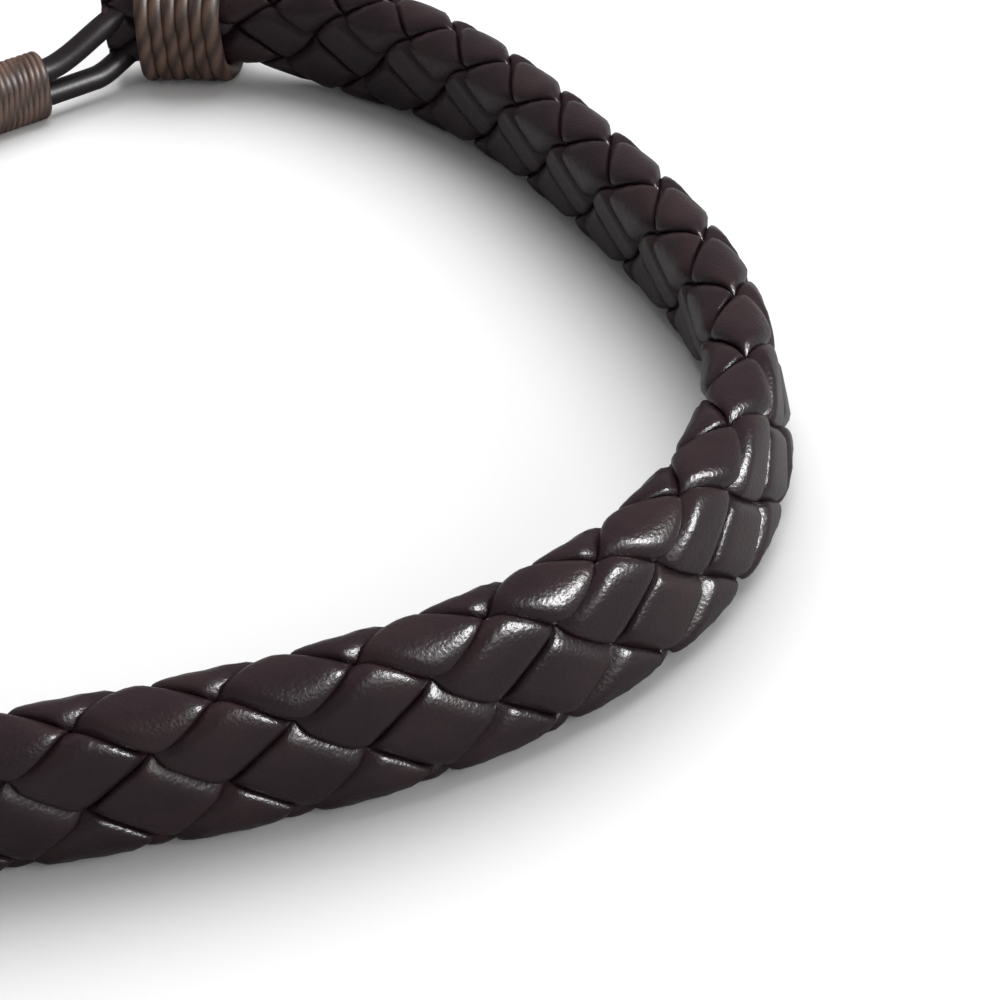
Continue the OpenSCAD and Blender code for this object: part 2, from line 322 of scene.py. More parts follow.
class ClosingLine:
    """The plain curve in plan from the far whipping to the near one: a cubic curve by its ends and handles"""

    # Steps along the curve
    ROWS = 240

    def __init__(self, scene, band):
        self.sizes = scene.bracelet_closing
        self.whipping = scene.bracelet_whipping
        self.band = band
        self.start = band.braid_to + self.whipping.length - self.sizes.tuck
        self.end = band.braid_from - self.whipping.length + self.sizes.tuck
        first, last = self.leaving(self.start, 0)[:2], self.leaving(self.end, 0)[:2]
        c, s = math.cos(self.sizes.turn), math.sin(self.sizes.turn)
        way = np.array([[c, -s], [s, c]]) @ band.along(self.start)
        bow = self.sizes.bow * np.linalg.norm(last - first)
        self.handles = [first, first + self.sizes.first * way, last - bow * band.along(self.end), last]
        self.shares = np.linspace(0, 1, self.ROWS + 1)
        self.line = self.spot(self.shares)
        steps = np.linalg.norm(np.diff(self.line, axis=0), axis=1)
        self.distances = np.concatenate(([0], np.cumsum(steps)))
        self.length = self.distances[-1]
        self.knot_first = self.sizes.knot_from / self.length
        self.knot_last = self.knot_first + self.sizes.knot / self.length

    def leaving(self, distance, up):
        """Where a lace leaves a whipping, by its height above the leaning band's middle"""
        lean = self.band.lean(self.band.angle_at(distance))
        high, thick = wound_on(self.whipping)
        way, out = self.band.along(distance), -self.sizes.inward
        reach = out * np.cos(lean) - up * np.sin(lean)
        plan = self.band.spot(distance) + np.array([way[1], -way[0]]) * reach
        middle = self.whipping.cord + (high - thick) / 2 * np.cos(lean) + thick / 2
        return np.append(plan, middle + out * np.sin(lean) + up * np.cos(lean))

    def spot(self, share):
        """Points of the curve in plan, by shares from 0 at the far whipping to 1 at the near one"""
        t = np.asarray(share)[..., None]
        a, b, c, d = self.handles
        return (1 - t) ** 3 * a + 3 * (1 - t) ** 2 * t * b + 3 * (1 - t) * t ** 2 * c + t ** 3 * d

    def lace_path(self, up, inside, settle):
        """Points of one closing lace: out of one whipping, level through the knot and into the other. Up is its
        height where it is held, inside its height in the knot, and settle how far it takes to get there."""
        t = self.shares
        far = (t < self.knot_first)[:, None]
        in_knot = smooth(np.where(far[:, 0], t * self.length / settle, (1 - t) / (1 - self.knot_last)))[:, None]
        end = np.where(far, self.leaving(self.start, up), self.leaving(self.end, up))
        base = np.where(far, self.handles[0], self.handles[3])
        plan = self.line + (end[:, :2] - base) * (1 - in_knot)
        path = np.hstack([plan, end[:, 2:] + (inside - end[:, 2:]) * in_knot])
        back, on = path[0] - path[1], path[-1] - path[-2]
        return np.vstack([path[0] + self.sizes.hold * back / np.linalg.norm(back), path,
                          path[-1] + self.sizes.hold * on / np.linalg.norm(on)])


def smooth(x):
    """A soft step from 0 to 1"""
    t = np.clip(x, 0, 1)
    return t * t * (3 - 2 * t)


def wound_on(whipping):
    """Height and thickness of the stadium that a whipping is wound on"""
    return whipping.height + 2 * whipping.play, whipping.thickness + 2 * whipping.play


def on_floor(plan):
    """Points in plan as points of a guide, which lie at no height"""
    return np.column_stack([plan, np.zeros(len(plan))])


# Node trees


def add(tree, kind, sources=(), **settings):
    """Adds a node with its settings. Each source is a value, a node whose first output is linked, or an
    output; sources are given in the order of the inputs, or in a dict by an input's name or place."""
    node = tree.nodes.new(kind)
    for name, value in settings.items():
        setattr(node, name, value)
    for key, source in sources.items() if isinstance(sources, dict) else enumerate(sources):
        if isinstance(source, bpy.types.Node):
            source = source.outputs[0]
        if isinstance(source, bpy.types.NodeSocket):
            tree.links.new(source, node.inputs[key])
        else:
            node.inputs[key].default_value = source
    return node


def new_tree(name, sockets):
    """A geometry tree with named inputs, given as names by the type of their sockets"""
    tree = bpy.data.node_groups.new(name, "GeometryNodeTree")
    for kind, names in sockets.items():
        for label in names:
            tree.interface.new_socket(label, in_out="INPUT", socket_type="NodeSocket" + kind)
    tree.interface.new_socket("Geometry", in_out="OUTPUT", socket_type="NodeSocketGeometry")
    return tree, tree.nodes.new("NodeGroupInput").outputs


def finish_tree(tree, geometry, given):
    """Ends a tree: seams merged, instances realized, shaded smooth, and its material set"""
    merged = add(tree, "GeometryNodeMergeByDistance", {"Geometry": geometry, "Distance": SEAM})
    plain = add(tree, "GeometryNodeRealizeInstances", [merged])
    shaded = add(tree, "GeometryNodeSetShadeSmooth", {"Geometry": plain, "Shade Smooth": True})
    covered = add(tree, "GeometryNodeSetMaterial", {"Geometry": shaded, "Material": given["Material"]})
    add(tree, "NodeGroupOutput", [covered])


def wrap_tree():
    """Lays a flat piece round the band. Its way along, its share of the way round and its height off the
    stadium's line become a place on the leaning stadium that follows the guide. Wall is how deep the
    stadium's line lies below the band's face, and Even Depth how deep its columns are evenly spaced."""
    tree, given = new_tree("Wrap round the band", {
        "Geometry": ["Geometry", "Guide"],
        "Float": ["Along", "Round", "Off", "Height", "Thickness", "Wall", "Even Depth", "Rise"],
    })

    # The stadium: half the length of its straight faces, the radius of its ends and half the way round it
    spread = add(tree, MATHS, [given["Height"], given["Thickness"]], operation="SUBTRACT")
    flat = add(tree, MATHS, [spread, 0.5], operation="MULTIPLY")
    half = add(tree, MATHS, [given["Thickness"], 0.5], operation="MULTIPLY")
    radius = add(tree, MATHS, [half, given["Wall"]], operation="SUBTRACT")
    even = add(tree, MATHS, [half, given["Even Depth"]], operation="SUBTRACT")
    arc = add(tree, MATHS, [even, math.pi], operation="MULTIPLY")
    half_ring = add(tree, MATHS, [flat, 2, arc], operation="MULTIPLY_ADD")

    # The place on it, from the middle of the outer face: up or down, and past the straight into the bend
    whole_turns = add(tree, MATHS, [given["Round"]], operation="ROUND")
    share = add(tree, MATHS, [given["Round"], whole_turns], operation="SUBTRACT")
    doubled = add(tree, MATHS, [share, 2], operation="MULTIPLY")
    signed = add(tree, MATHS, [doubled, half_ring], operation="MULTIPLY")
    way = add(tree, MATHS, [signed], operation="SIGN")
    run = add(tree, MATHS, [signed], operation="ABSOLUTE")
    bent = add(tree, MATHS, [run, flat], operation="SUBTRACT")
    turned = add(tree, MATHS, [bent, even], operation="DIVIDE")
    bend = add(tree, "ShaderNodeClamp", {"Value": turned, "Min": 0, "Max": math.pi})
    beyond = add(tree, MATHS, [bent, arc], operation="SUBTRACT")
    back = add(tree, MATHS, [beyond, 0], operation="MAXIMUM")
    forth = add(tree, MATHS, [run, flat], operation="MINIMUM")
    straight = add(tree, MATHS, [forth, back], operation="SUBTRACT")
    reach = add(tree, MATHS, [radius, given["Off"]], operation="ADD")
    sine = add(tree, MATHS, [bend], operation="SINE")
    cosine = add(tree, MATHS, [bend], operation="COSINE")
    rise = add(tree, MATHS, [reach, sine, straight], operation="MULTIPLY_ADD")
    up = add(tree, MATHS, [way, rise], operation="MULTIPLY")
    out = add(tree, MATHS, [reach, cosine], operation="MULTIPLY")

    # The guide's place and lean there: the stadium tips inwards and stays on the floor
    lean = add(tree, "GeometryNodeInputNamedAttribute", {"Name": "lean"}, data_type="FLOAT")
    sample = add(tree, "GeometryNodeSampleCurve", {"Curves": given["Guide"], "Value": lean,
                                                   "Length": given["Along"]},
                 mode="LENGTH", data_type="FLOAT", use_all_curves=True)
    lean_sine = add(tree, MATHS, [sample.outputs["Value"]], operation="SINE")
    lean_cosine = add(tree, MATHS, [sample.outputs["Value"]], operation="COSINE")
    out_level = add(tree, MATHS, [out, lean_cosine], operation="MULTIPLY")
    up_level = add(tree, MATHS, [up, lean_sine], operation="MULTIPLY")
    level = add(tree, MATHS, [out_level, up_level], operation="SUBTRACT")
    middle = add(tree, MATHS, [flat, lean_cosine, half], operation="MULTIPLY_ADD")
    tipped = add(tree, MATHS, [out, lean_sine, middle], operation="MULTIPLY_ADD")
    raised = add(tree, MATHS, [up, lean_cosine, tipped], operation="MULTIPLY_ADD")
    height = add(tree, MATHS, [raised, given["Rise"]], operation="ADD")
    side = add(tree, "ShaderNodeVectorMath", [sample.outputs["Tangent"], (0, 0, 1)],
               operation="CROSS_PRODUCT")
    sideways = add(tree, "ShaderNodeVectorMath", {0: side, "Scale": level}, operation="SCALE")
    upwards = add(tree, "ShaderNodeCombineXYZ", {"Z": height})
    aside = add(tree, "ShaderNodeVectorMath", [sample.outputs["Position"], sideways], operation="ADD")
    place = add(tree, "ShaderNodeVectorMath", [aside, upwards], operation="ADD")
    laid = add(tree, "GeometryNodeSetPosition", {"Geometry": given["Geometry"], "Position": place})
    add(tree, "NodeGroupOutput", [laid])
    return tree


def lace_tree(wrap):
    """One plaited lace: over one and under one round the braid, wide and crowned where it lies on top"""
    tree, given = new_tree("Plaited lace", {
        "Object": ["Guide"],
        "Material": ["Material"],
        "Int": ["Stations", "Corners"],
        "Float": ["Way", "Start", "From", "To", "Guide From", "Braid From", "Braid To", "Pitch", "Columns",
                  "Column Shift", "Lace", "Gap", "Press", "Cover Over", "Cover Under", "Dive From", "Dive To",
                  "Height", "Thickness", "Squeezed Height", "Squeezed Thickness", "Squeeze Length", "Lift",
                  "Wall", "Even Depth", "Variation", "Seed"],
    })
    cut_length = add(tree, MATHS, [given["To"], given["From"]], operation="SUBTRACT")
    length = add(tree, MATHS, [given["Pitch"], SPARE_GRID, cut_length], operation="MULTIPLY_ADD")
    middle_sum = add(tree, MATHS, [given["To"], given["From"]], operation="ADD")
    corners = add(tree, MATHS, [given["Corners"], 1], operation="ADD")
    grid = add(tree, "GeometryNodeMeshGrid", {"Size X": length, "Size Y": 1, "Vertices X": given["Stations"],
                                              "Vertices Y": corners})
    place = add(tree, "ShaderNodeSeparateXYZ", [add(tree, "GeometryNodeInputPosition")])
    uncut = add(tree, MATHS, [middle_sum, 0.5, place.outputs["X"]], operation="MULTIPLY_ADD")
    angle = add(tree, MATHS, [place.outputs["Y"], math.tau], operation="MULTIPLY")

    # Each end closes to a point of its cut
    from_middle = add(tree, MATHS, [place.outputs["X"]], operation="ABSOLUTE")
    nearest_end = add(tree, MATHS, [add(tree, MATHS, [length, 0.5], operation="MULTIPLY"), from_middle],
                      operation="SUBTRACT")
    step = add(tree, MATHS, [length, given["Stations"]], operation="DIVIDE")
    closing = add(tree, MATHS, [nearest_end, step], operation="DIVIDE", use_clamp=True)

    # Section: a flat strip with rounded edges, crowned on its face
    cosine = add(tree, MATHS, [angle], operation="COSINE")
    sine = add(tree, MATHS, [angle], operation="SINE")
    wide = add(tree, MATHS, [add(tree, MATHS, [cosine], operation="ABSOLUTE"), EDGE_POWER],
               operation="POWER")
    deep = add(tree, MATHS, [add(tree, MATHS, [sine], operation="ABSOLUTE"), CROWN_POWER],
               operation="POWER")
    across = add(tree, MATHS, [wide, add(tree, MATHS, [cosine], operation="SIGN")], operation="MULTIPLY")
    through = add(tree, MATHS, [deep, add(tree, MATHS, [sine], operation="SIGN")], operation="MULTIPLY")

    # The lace is cut square to the band: each point past the cut stays on it
    edge_lead = add(tree, MATHS, [given["Pitch"], EDGE_LEAD], operation="MULTIPLY")
    lead = add(tree, MATHS, [add(tree, MATHS, [across, closing], operation="MULTIPLY"),
                             add(tree, MATHS, [given["Way"], edge_lead], operation="MULTIPLY")],
               operation="MULTIPLY")
    station = add(tree, "ShaderNodeClamp", {"Value": uncut,
                                            "Min": add(tree, MATHS, [given["From"], lead], operation="ADD"),
                                            "Max": add(tree, MATHS, [given["To"], lead], operation="ADD")})

    # Over one and under one, by the distance in columns from the nearest crossing on top
    travelled = add(tree, MATHS, [station, given["Start"]], operation="SUBTRACT")
    in_pitches = add(tree, MATHS, [travelled, given["Pitch"]], operation="DIVIDE")
    double_way = add(tree, MATHS, [given["Way"], 2], operation="MULTIPLY")
    column = add(tree, MATHS, [in_pitches, double_way], operation="MULTIPLY")
    beat = add(tree, MATHS, [given["Way"], 0.5, column], operation="MULTIPLY_ADD")
    shifted = add(tree, MATHS, [beat, 0.5], operation="ADD")
    pairs = add(tree, MATHS, [add(tree, MATHS, [shifted, 0.5], operation="MULTIPLY")], operation="ROUND")
    from_top = add(tree, MATHS, [pairs, -2, shifted], operation="MULTIPLY_ADD")
    away = add(tree, MATHS, [from_top], operation="ABSOLUTE")
    over = add(tree, "ShaderNodeMapRange", {"Value": away, "From Min": given["Dive From"],
                                            "From Max": given["Dive To"], "To Min": 1, "To Max": -1},
               interpolation_type="SMOOTHSTEP")
    below = add(tree, MATHS, [over, -0.5, 0.5], operation="MULTIPLY_ADD")
    pressed = add(tree, MATHS, [below, given["Press"]], operation="MULTIPLY")
    left = add(tree, MATHS, [1, pressed], operation="SUBTRACT")
    thick = add(tree, MATHS, [given["Lace"], left], operation="MULTIPLY")
    layer = add(tree, MATHS, [given["Lace"], given["Gap"]], operation="ADD")
    rise = add(tree, MATHS, [layer, 0.5], operation="MULTIPLY")
    risen = add(tree, MATHS, [over, rise], operation="MULTIPLY")
    sunk = add(tree, MATHS, [pressed, given["Lace"]], operation="MULTIPLY")
    middle = add(tree, MATHS, [sunk, -0.5, risen], operation="MULTIPLY_ADD")

    # Wide on top and narrow below, and no two crossings quite alike
    cover = add(tree, "ShaderNodeMapRange", {"Value": away, "From Min": 0, "From Max": 1,
                                             "To Min": given["Cover Over"], "To Max": given["Cover Under"]},
                interpolation_type="SMOOTHSTEP")
    turn = add(tree, "ShaderNodeCombineXYZ", [add(tree, MATHS, [beat, WIDTH_WAVES], operation="MULTIPLY"),
                                              given["Seed"]])
    noise = add(tree, "ShaderNodeTexNoise", {"Vector": turn, "Scale": 1.0, "Detail": 1.0})
    centred = add(tree, MATHS, [noise.outputs["Fac"], 0.5], operation="SUBTRACT")
    varied = add(tree, MATHS, [centred, given["Variation"], 1], operation="MULTIPLY_ADD")
    share = add(tree, MATHS, [add(tree, MATHS, [cover, varied], operation="MULTIPLY"), closing],
                operation="MULTIPLY")
    sideways = add(tree, MATHS, [across, share], operation="MULTIPLY")
    slid = add(tree, MATHS, [add(tree, MATHS, [sideways, given["Way"]], operation="MULTIPLY"),
                             given["Pitch"]], operation="MULTIPLY")
    along = add(tree, MATHS, [slid, -EDGE_LEAD, station], operation="MULTIPLY_ADD")
    in_columns = add(tree, MATHS, [sideways, 0.5, column], operation="MULTIPLY_ADD")
    in_place = add(tree, MATHS, [in_columns, given["Column Shift"]], operation="ADD")
    round_share = add(tree, MATHS, [in_place, given["Columns"]], operation="DIVIDE")
    depth = add(tree, MATHS, [add(tree, MATHS, [through, thick], operation="MULTIPLY"), closing],
                operation="MULTIPLY")
    off = add(tree, MATHS, [depth, 0.5, middle], operation="MULTIPLY_ADD")

    # The whippings squeeze the braid
    from_end = add(tree, MATHS, [along, given["Braid From"]], operation="SUBTRACT")
    to_end = add(tree, MATHS, [given["Braid To"], along], operation="SUBTRACT")
    clear = add(tree, MATHS, [from_end, to_end], operation="MINIMUM")
    squeezed = add(tree, "ShaderNodeMapRange", {"Value": clear, "From Min": 0,
                                                "From Max": given["Squeeze Length"], "To Min": 1, "To Max": 0},
                   interpolation_type="SMOOTHSTEP")
    size = {}
    for plain, tight in (("Height", "Squeezed Height"), ("Thickness", "Squeezed Thickness")):
        change = add(tree, MATHS, [given[tight], given[plain]], operation="SUBTRACT")
        size[plain] = add(tree, MATHS, [change, squeezed, given[plain]], operation="MULTIPLY_ADD")
    lifted = add(tree, MATHS, [squeezed, given["Lift"]], operation="MULTIPLY")

    # Where each point lies on the lace laid flat, for the grain to follow
    slant = add(tree, MATHS, [sideways, given["Pitch"]], operation="MULTIPLY")
    breadth = add(tree, MATHS, [slant, FLAT_BREADTH], operation="MULTIPLY")
    flat_run = add(tree, MATHS, [station, FLAT_LENGTH], operation="MULTIPLY")
    rest = add(tree, "ShaderNodeCombineXYZ", [flat_run, breadth, depth])
    marked = add(tree, "GeometryNodeStoreNamedAttribute", {"Geometry": grid, "Name": "rest", "Value": rest},
                 data_type="FLOAT_VECTOR", domain="POINT")
    told = add(tree, "GeometryNodeStoreNamedAttribute", {"Geometry": marked, "Name": "across",
                                                         "Value": across}, data_type="FLOAT", domain="POINT")

    # Laid round the band
    guide = add(tree, "GeometryNodeObjectInfo", [given["Guide"]])
    line = add(tree, "GeometryNodeMeshToCurve", [guide.outputs["Geometry"]])
    guide_run = add(tree, MATHS, [along, given["Guide From"]], operation="SUBTRACT")
    wrapped = add(tree, "GeometryNodeGroup", {
        "Geometry": told, "Guide": line, "Along": guide_run, "Round": round_share, "Off": off,
        "Height": size["Height"], "Thickness": size["Thickness"], "Wall": given["Wall"],
        "Even Depth": given["Even Depth"], "Rise": lifted,
    }, node_tree=wrap)
    finish_tree(tree, wrapped, given)
    return tree


def winding_tree(wrap):
    """Turns of cord laid side by side round a stadium that follows the guide"""
    tree, given = new_tree("Cord winding", {
        "Object": ["Guide"],
        "Material": ["Material"],
        "Int": ["Stations", "Corners"],
        "Float": ["Turns", "From", "Length", "Cord", "Height", "Thickness", "Slack", "Seed"],
    })
    corners = add(tree, MATHS, [given["Corners"], 1], operation="ADD")
    grid = add(tree, "GeometryNodeMeshGrid", {"Size X": 1, "Size Y": 1, "Vertices X": given["Stations"],
                                              "Vertices Y": corners})
    place = add(tree, "ShaderNodeSeparateXYZ", [add(tree, "GeometryNodeInputPosition")])
    share = add(tree, MATHS, [place.outputs["X"], 0.5], operation="ADD")
    angle = add(tree, MATHS, [place.outputs["Y"], math.tau], operation="MULTIPLY")
    left = add(tree, MATHS, [1, share], operation="SUBTRACT")
    nearest_end = add(tree, MATHS, [share, left], operation="MINIMUM")
    closing = add(tree, MATHS, [nearest_end, given["Stations"]], operation="MULTIPLY", use_clamp=True)
    radius = add(tree, MATHS, [given["Cord"], 0.5], operation="MULTIPLY")
    laid = add(tree, MATHS, [share, given["Turns"]], operation="MULTIPLY")

    # Hand-laid turns lie a little unevenly
    spot = add(tree, "ShaderNodeCombineXYZ", [laid, given["Seed"]])
    noise = add(tree, "ShaderNodeTexNoise", {"Vector": spot, "Scale": SLACK_WAVES, "Detail": 1.0})
    uneven = add(tree, MATHS, [noise.outputs["Fac"], 0.5], operation="SUBTRACT")
    slack = add(tree, MATHS, [uneven, given["Slack"]], operation="MULTIPLY")

    room = add(tree, MATHS, [given["Length"], given["Cord"]], operation="SUBTRACT")
    run = add(tree, MATHS, [share, room, given["From"]], operation="MULTIPLY_ADD")
    centre = add(tree, MATHS, [run, radius], operation="ADD")
    loose = add(tree, MATHS, [centre, slack], operation="ADD")
    thick = add(tree, MATHS, [radius, closing], operation="MULTIPLY")
    cosine = add(tree, MATHS, [angle], operation="COSINE")
    sine = add(tree, MATHS, [angle], operation="SINE")
    aside = add(tree, MATHS, [thick, cosine], operation="MULTIPLY")
    fat = add(tree, MATHS, [aside, PRESSED_CORD, loose], operation="MULTIPLY_ADD")
    raised = add(tree, MATHS, [thick, sine], operation="MULTIPLY")
    off = add(tree, MATHS, [raised, radius], operation="ADD")

    # Where each point lies on the cord laid straight, for its plies to follow
    across = add(tree, MATHS, [given["Height"], given["Thickness"]], operation="SUBTRACT")
    once = add(tree, MATHS, [given["Thickness"], math.pi, add(tree, MATHS, [across, 2], operation="MULTIPLY")],
               operation="MULTIPLY_ADD")
    straight = add(tree, MATHS, [laid, once], operation="MULTIPLY")
    rest = add(tree, "ShaderNodeCombineXYZ", [straight, aside, raised])
    marked = add(tree, "GeometryNodeStoreNamedAttribute", {"Geometry": grid, "Name": "rest", "Value": rest},
                 data_type="FLOAT_VECTOR", domain="POINT")

    guide = add(tree, "GeometryNodeObjectInfo", [given["Guide"]])
    line = add(tree, "GeometryNodeMeshToCurve", [guide.outputs["Geometry"]])
    wrapped = add(tree, "GeometryNodeGroup", {
        "Geometry": marked, "Guide": line, "Along": fat, "Round": laid, "Off": off, "Height": given["Height"],
        "Thickness": given["Thickness"], "Rise": given["Cord"],
    }, node_tree=wrap)
    finish_tree(tree, wrapped, given)
    return tree


def round_lace_tree():
    """A round lace drawn along its guide, closed at both ends"""
    tree, given = new_tree("Round lace", {
        "Object": ["Guide"],
        "Material": ["Material"],
        "Int": ["Corners"],
        "Float": ["Diameter"],
    })
    guide = add(tree, "GeometryNodeObjectInfo", [given["Guide"]])
    line = add(tree, "GeometryNodeMeshToCurve", [guide.outputs["Geometry"]])
    radius = add(tree, MATHS, [given["Diameter"], 0.5], operation="MULTIPLY")
    circle = add(tree, "GeometryNodeCurvePrimitiveCircle", {"Resolution": given["Corners"], "Radius": radius})
    spline = add(tree, "GeometryNodeSplineParameter")
    line_told = add(tree, "GeometryNodeStoreNamedAttribute", {"Geometry": line, "Name": "run",
                                                              "Value": spline.outputs["Length"]},
                    data_type="FLOAT", domain="POINT")
    circle_told = add(tree, "GeometryNodeStoreNamedAttribute",
                      {"Geometry": circle, "Name": "rim", "Value": add(tree, "GeometryNodeInputPosition")},
                      data_type="FLOAT_VECTOR", domain="POINT")
    drawn = add(tree, "GeometryNodeCurveToMesh", {"Curve": line_told, "Profile Curve": circle_told,
                                                  "Fill Caps": True})
    run = add(tree, "GeometryNodeInputNamedAttribute", {"Name": "run"}, data_type="FLOAT")
    rim = add(tree, "GeometryNodeInputNamedAttribute", {"Name": "rim"}, data_type="FLOAT_VECTOR")
    rim_parts = add(tree, "ShaderNodeSeparateXYZ", [rim])
    rest = add(tree, "ShaderNodeCombineXYZ", [run, rim_parts.outputs["X"], rim_parts.outputs["Y"]])
    marked = add(tree, "GeometryNodeStoreNamedAttribute", {"Geometry": drawn, "Name": "rest", "Value": rest},
                 data_type="FLOAT_VECTOR", domain="POINT")
    finish_tree(tree, marked, given)
    return tree


def guide_line(name, points, lean=None):
    """A hidden chain of edges that a tree follows, with how far the band leans at each point"""
    mesh = bpy.data.meshes.new(name)
    mesh.from_pydata([tuple(p) for p in points], [(i, i + 1) for i in range(len(points) - 1)], [])
    attribute = mesh.attributes.new("lean", "FLOAT", "POINT")
    if lean is not None:
        attribute.data.foreach_set("value", np.asarray(lean, np.float32))
    guide = bpy.data.objects.new(name, mesh)
    bpy.context.scene.collection.objects.link(guide)
    return guide


def make_piece(name, tree, values, nodes):
    """Runs a tree with these values, keeps its result as a plain mesh and puts it in the frame"""
    piece = bpy.data.objects.new(name, bpy.data.meshes.new(name))
    bpy.context.scene.collection.objects.link(piece)
    modifier = piece.modifiers.new(tree.name, "NODES")
    modifier.node_group = tree
    for item in tree.interface.items_tree:
        if item.in_out == "INPUT":
            modifier[item.identifier] = values[item.name]
    depsgraph = bpy.context.evaluated_depsgraph_get()
    made = bpy.data.meshes.new_from_object(piece.evaluated_get(depsgraph), depsgraph=depsgraph)
    piece.modifiers.remove(modifier)
    face_outwards(made)
    made.name = name
    piece.data = made
    if not made.polygons:
        raise RuntimeError(f"{name} has no faces")
    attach(piece, BODY)
    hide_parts(*nodes)
    return piece


def face_outwards(mesh):
    """Turns the faces of a closed mesh outwards"""
    shape = bmesh.new()
    shape.from_mesh(mesh)
    bmesh.ops.recalc_face_normals(shape, faces=shape.faces)
    shape.to_mesh(mesh)
    shape.free()


# Finishes


def new_material(name):
    """A material with an empty principled shader, and its tree"""
    material = bpy.data.materials.new(name)
    material.use_nodes = True
    tree = material.node_tree
    shader = next(node for node in tree.nodes if node.type == "BSDF_PRINCIPLED")
    return material, tree, shader


def dyed_leather(looks):
    """Chrome-tanned cowhide lace, dyed through and pressed with a fine grain: dark red-brown, with a soft
    gloss that breaks up into pebbles where the light strikes it"""
    material, tree, shader = new_material("Dyed cowhide lace")
    rest = add(tree, "ShaderNodeAttribute", attribute_name="rest")

    # The dye is rubbed in patches about 3 mm wide
    patches = add(tree, "ShaderNodeTexNoise", {"Vector": rest.outputs["Vector"], "Scale": 0.35 / MM,
                                               "Detail": 3.0, "Roughness": 0.6})
    worn = add(tree, "ShaderNodeMapRange", {"Value": patches.outputs["Fac"], "From Min": 0.4, "From Max": 0.75})
    colour = add(tree, "ShaderNodeMix", {"Factor": worn, "A": looks.leather[:], "B": looks.leather_worn[:]},
                 data_type="RGBA")
    tree.links.new(colour.outputs["Result"], shader.inputs["Base Color"])

    # Pebbles of one grain each, with creases about half as wide between them
    pebbles = add(tree, "ShaderNodeTexVoronoi", {"Vector": rest.outputs["Vector"], "Scale": 1 / looks.grain,
                                                 "Randomness": 1.0}, feature="SMOOTH_F1")
    creases = add(tree, "ShaderNodeTexNoise", {"Vector": rest.outputs["Vector"], "Scale": 2.2 / looks.grain,
                                               "Detail": 2.0})
    relief = add(tree, MATHS, [creases.outputs["Fac"], 0.5, pebbles.outputs["Distance"]],
                 operation="MULTIPLY_ADD")
    bump = add(tree, "ShaderNodeBump", {"Strength": 0.6, "Distance": 0.03 * MM, "Height": relief})
    tree.links.new(bump.outputs["Normal"], shader.inputs["Normal"])
    gloss = add(tree, "ShaderNodeMapRange", {"Value": patches.outputs["Fac"], "To Min": 0.24, "To Max": 0.36})
    tree.links.new(gloss.outputs["Result"], shader.inputs["Roughness"])
    shader.inputs["Specular IOR Level"].default_value = 0.3
    return material


def waxed_cord(looks):
    """Waxed cotton cord, twisted of three plies: a matt brown with fine slanted grooves and fibres drawn about
    0.2 mm wide, far coarser than cotton's own, so that they show. The grooves between the plies are painted
    darker than the crests, as painted shade."""
    material, tree, shader = new_material("Waxed cotton cord")
    rest = add(tree, "ShaderNodeAttribute", attribute_name="rest")
    parts = add(tree, "ShaderNodeSeparateXYZ", [rest.outputs["Vector"]])
    angle = add(tree, MATHS, [parts.outputs["Z"], parts.outputs["Y"]], operation="ARCTAN2")
    twist = add(tree, MATHS, [parts.outputs["X"], math.tau / looks.lay], operation="MULTIPLY")
    plies = 3
    phase = add(tree, MATHS, [angle, plies, twist], operation="MULTIPLY_ADD")
    wave = add(tree, MATHS, [phase], operation="SINE")
    fibres = add(tree, "ShaderNodeTexNoise", {"Vector": rest.outputs["Vector"], "Scale": 6 / MM,
                                              "Detail": 4.0, "Roughness": 0.7})
    mixed = add(tree, MATHS, [fibres.outputs["Fac"], 1.2, add(tree, MATHS, [wave, 0.5], operation="MULTIPLY")],
                operation="MULTIPLY_ADD")
    # Painted shade: the colour darkens where the plies' wave dips into the grooves, on top of the fibres'
    # random tone
    light = add(tree, "ShaderNodeMapRange", {"Value": mixed, "From Min": 0.1, "From Max": 1.1})
    colour = add(tree, "ShaderNodeMix", {"Factor": light, "A": looks.cord_groove_shade_and_fibre[:], "B": looks.cord[:]},
                 data_type="RGBA")
    tree.links.new(colour.outputs["Result"], shader.inputs["Base Color"])
    bump = add(tree, "ShaderNodeBump", {"Strength": 0.3, "Distance": 0.04 * MM, "Height": mixed})
    tree.links.new(bump.outputs["Normal"], shader.inputs["Normal"])
    shader.inputs["Roughness"].default_value = 0.5
    return material


def round_leather(looks):
    """Round leather lace, dyed and waxed nearly black, with a dull sheen along it and a grain of 0.3 mm"""
    material, tree, shader = new_material("Round leather lace")
    rest = add(tree, "ShaderNodeAttribute", attribute_name="rest")
    grain = add(tree, "ShaderNodeTexNoise", {"Vector": rest.outputs["Vector"], "Scale": 3 / MM,
                                             "Detail": 3.0})
    colour = add(tree, "ShaderNodeMix", {"Factor": grain.outputs["Fac"], "A": looks.lace[:],
                                         "B": looks.leather[:]}, data_type="RGBA")
    tree.links.new(colour.outputs["Result"], shader.inputs["Base Color"])
    bump = add(tree, "ShaderNodeBump", {"Strength": 0.3, "Distance": 0.03 * MM,
                                        "Height": grain.outputs["Fac"]})
    tree.links.new(bump.outputs["Normal"], shader.inputs["Normal"])
    shader.inputs["Roughness"].default_value = 0.42
    shader.inputs["Specular IOR Level"].default_value = 0.3
    return material


# Operators


